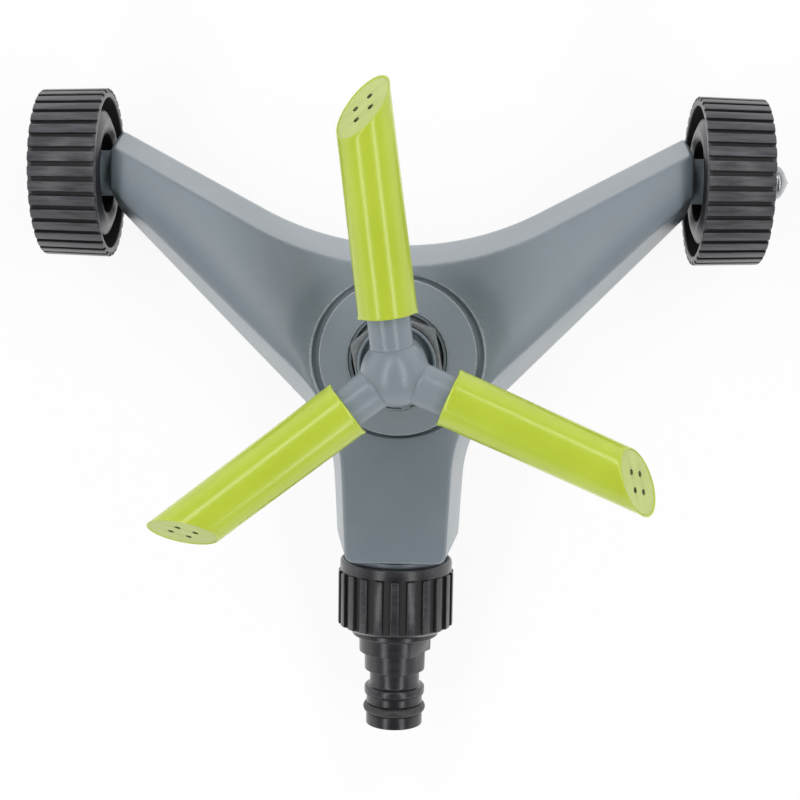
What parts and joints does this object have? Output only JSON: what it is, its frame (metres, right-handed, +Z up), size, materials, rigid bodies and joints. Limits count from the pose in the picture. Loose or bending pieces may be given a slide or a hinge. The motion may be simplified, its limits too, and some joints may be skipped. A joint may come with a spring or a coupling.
{
  "type": "rotary lawn sprinkler",
  "caption": "Rotary lawn sprinkler on a wheeled Y-shaped base, with a spinning head of oblique jet arms and a quick-connect hose inlet.",
  "frame": {"origin": "middle of the front foot's sole, on the ground and on the part's centre plane", "axes": "+Z up along the spindle, +X to the right wheel, hose inlet towards -Y, wheels towards +Y"},
  "size_m": [0.2047, 0.1786, 0.0992],
  "materials": {
    "grey_plastic": "satin blue-grey moulded plastic, faint grain",
    "rotor_grey": "smooth blue-grey moulded plastic",
    "lime_plastic": "glossy lime green tube",
    "pale_lime_plastic": "satin pale lime nozzle plate",
    "wheel_black": "satin black moulded plastic",
    "coupling_black": "satin black moulded plastic, worn edges",
    "seal_rubber": "smooth rubber",
    "zinc_steel": "zinc plated steel",
    "bright_cap": "polished plated steel",
    "stem_brass": "turned brass",
    "white_nylon": "plain nylon"
  },
  "bodies": {
    "base": {"base_shell": "grey_plastic", "riser_body": "grey_plastic", "elbow_screws": "zinc_steel", "inlet_pipe": "grey_plastic", "pipe_seal": "seal_rubber", "gland_nut": "grey_plastic", "lower_thrust_washer": "white_nylon", "left_axle": "zinc_steel", "right_axle": "zinc_steel", "left_axle_washer": "zinc_steel", "right_axle_washer": "zinc_steel", "left_axle_clip": "zinc_steel", "right_axle_cap": "bright_cap"},
    "rotor": {"rotor_hub": "rotor_grey", "rotor_stem": "stem_brass", "upper_thrust_washer": "white_nylon", "stem_seal": "seal_rubber", "arm_seals": "seal_rubber", "arm_tube_rear": "lime_plastic", "arm_tube_left": "lime_plastic", "arm_tube_right": "lime_plastic", "nozzle_plate_rear": "pale_lime_plastic", "nozzle_plate_left": "pale_lime_plastic", "nozzle_plate_right": "pale_lime_plastic"},
    "left_wheel": {"left_wheel": "wheel_black"},
    "right_wheel": {"right_wheel": "wheel_black"},
    "hose_tail": {"hose_tail": "coupling_black", "inlet_washer": "seal_rubber", "nose_seal": "seal_rubber"},
    "coupling_nut": {"coupling_nut": "coupling_black"}
  },
  "joints": [
    {"name": "rotor_spin", "type": "hinge", "parent": "base", "child": "rotor", "pos_m": [0, 0.0555, 0.06], "axis": [0, 0, 1], "continuous": true},
    {"name": "left_wheel_spin", "type": "hinge", "parent": "base", "child": "left_wheel", "pos_m": [-0.0895, 0.1031, 0.023], "axis": [1, 0, 0], "continuous": true},
    {"name": "right_wheel_spin", "type": "hinge", "parent": "base", "child": "right_wheel", "pos_m": [0.0895, 0.1031, 0.023], "axis": [1, 0, 0], "continuous": true},
    {"name": "tail_slide", "type": "slide", "parent": "base", "child": "hose_tail", "axis": [0, -1, 0], "range_m": [0, 0.00907]},
    {"name": "nut_turn", "type": "hinge", "parent": "hose_tail", "child": "coupling_nut", "pos_m": [0, -0.0145, 0.022], "axis": [0, -1, 0], "range_deg": [0, 1800]}
  ],
  "couplings": [
    {"joint": "nut_turn", "follows": "tail_slide", "rad_per_m": 3463.7}
  ]
}
